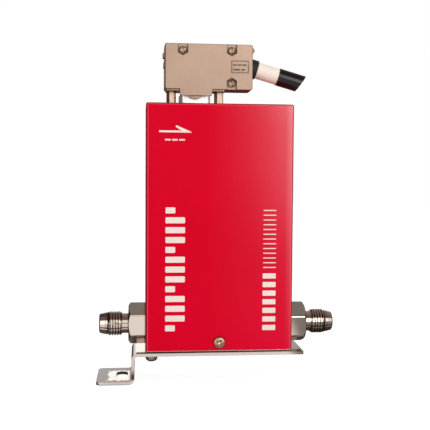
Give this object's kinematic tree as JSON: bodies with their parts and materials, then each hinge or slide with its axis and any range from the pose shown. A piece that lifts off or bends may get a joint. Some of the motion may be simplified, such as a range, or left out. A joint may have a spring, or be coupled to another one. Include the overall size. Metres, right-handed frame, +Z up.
{
  "type": "mass flow controller",
  "caption": "Thermal gas flow controller: steel block with threaded ends, tall red cover, right-angled plug hood and cut cable stub on top, on a Z-bent foot bracket.",
  "frame": {"origin": "middle of the flat underside of the bracket foot, where it is bolted down", "axes": "+X from inlet to outlet, +Y to the back, +Z up towards the connector"},
  "size_m": [0.1251, 0.0314, 0.1751],
  "materials": {
    "red_paint": "semi-gloss stoved enamel",
    "stainless": "machined stainless steel",
    "bracket_sheet": "mill-finish stainless sheet",
    "screw_steel": "plated steel",
    "hood_metal": "satin plated die casting",
    "connector_plate": "bright tin plate",
    "soft_iron": "ground soft iron",
    "contact_metal": "gold-flashed brass",
    "copper_wire": "enamelled copper",
    "black_moulding": "moulded thermoplastic",
    "board_green": "lacquered glass-fibre laminate",
    "capacitor_can": "drawn can",
    "seal_rubber": "fluoroelastomer",
    "sheath_cream": "soft cable sheath",
    "tape_black": "vinyl tape",
    "lead_insulation": "lead insulation"
  },
  "bodies": {
    "controller": {"amplifier_packages": "black_moulding", "base_block": "stainless", "board_frame": "bracket_sheet", "board_headers": "black_moulding", "board_screws": "screw_steel", "board_standoffs": "screw_steel", "bracket": "bracket_sheet", "bracket_screws": "screw_steel", "bypass_element": "stainless", "cable": "sheath_cream", "cable_bush": "seal_rubber", "cable_clamp": "screw_steel", "cable_cores": "lead_insulation", "cable_tape": "tape_black", "capacitors": "capacitor_can", "circuit_board": "board_green", "coil_bobbin": "black_moulding", "coil_leads": "lead_insulation", "coil_nut": "screw_steel", "coil_winding": "copper_wire", "coil_yoke": "soft_iron", "connector_pins": "contact_metal", "cover": "red_paint", "cover_screws": "screw_steel", "fitting_seals": "stainless", "flange_nuts": "screw_steel", "frame_screws": "screw_steel", "hood_cover": "hood_metal", "hood_screws": "screw_steel", "hood_shell": "hood_metal", "inlet_filter": "stainless", "inlet_fitting": "stainless", "jack_posts": "screw_steel", "jackscrews": "screw_steel", "outlet_fitting": "stainless", "plug_contacts": "contact_metal", "plug_insulator": "black_moulding", "plug_shell": "connector_plate", "plunger_spring": "stainless", "pole_core": "soft_iron", "receptacle_insulator": "black_moulding", "receptacle_shell": "connector_plate", "sensor_base": "stainless", "sensor_cover": "capacitor_can", "sensor_leads": "lead_insulation", "sensor_screws": "screw_steel", "sensor_seals": "seal_rubber", "sensor_tube": "stainless", "sensor_windings": "copper_wire", "valve_guide": "stainless", "valve_screws": "screw_steel", "valve_seal": "seal_rubber", "valve_seat": "stainless"},
    "plunger": {"valve_plunger": "soft_iron", "plunger_seal": "seal_rubber"}
  },
  "joints": [
    {"name": "plunger_lift", "type": "slide", "parent": "controller", "child": "plunger", "axis": [0, 0, 1], "range_m": [0, 0.00035], "stiffness_N_per_m": 1500, "springref_m": -0.0015, "deforming": ["plunger_spring"]}
  ]
}
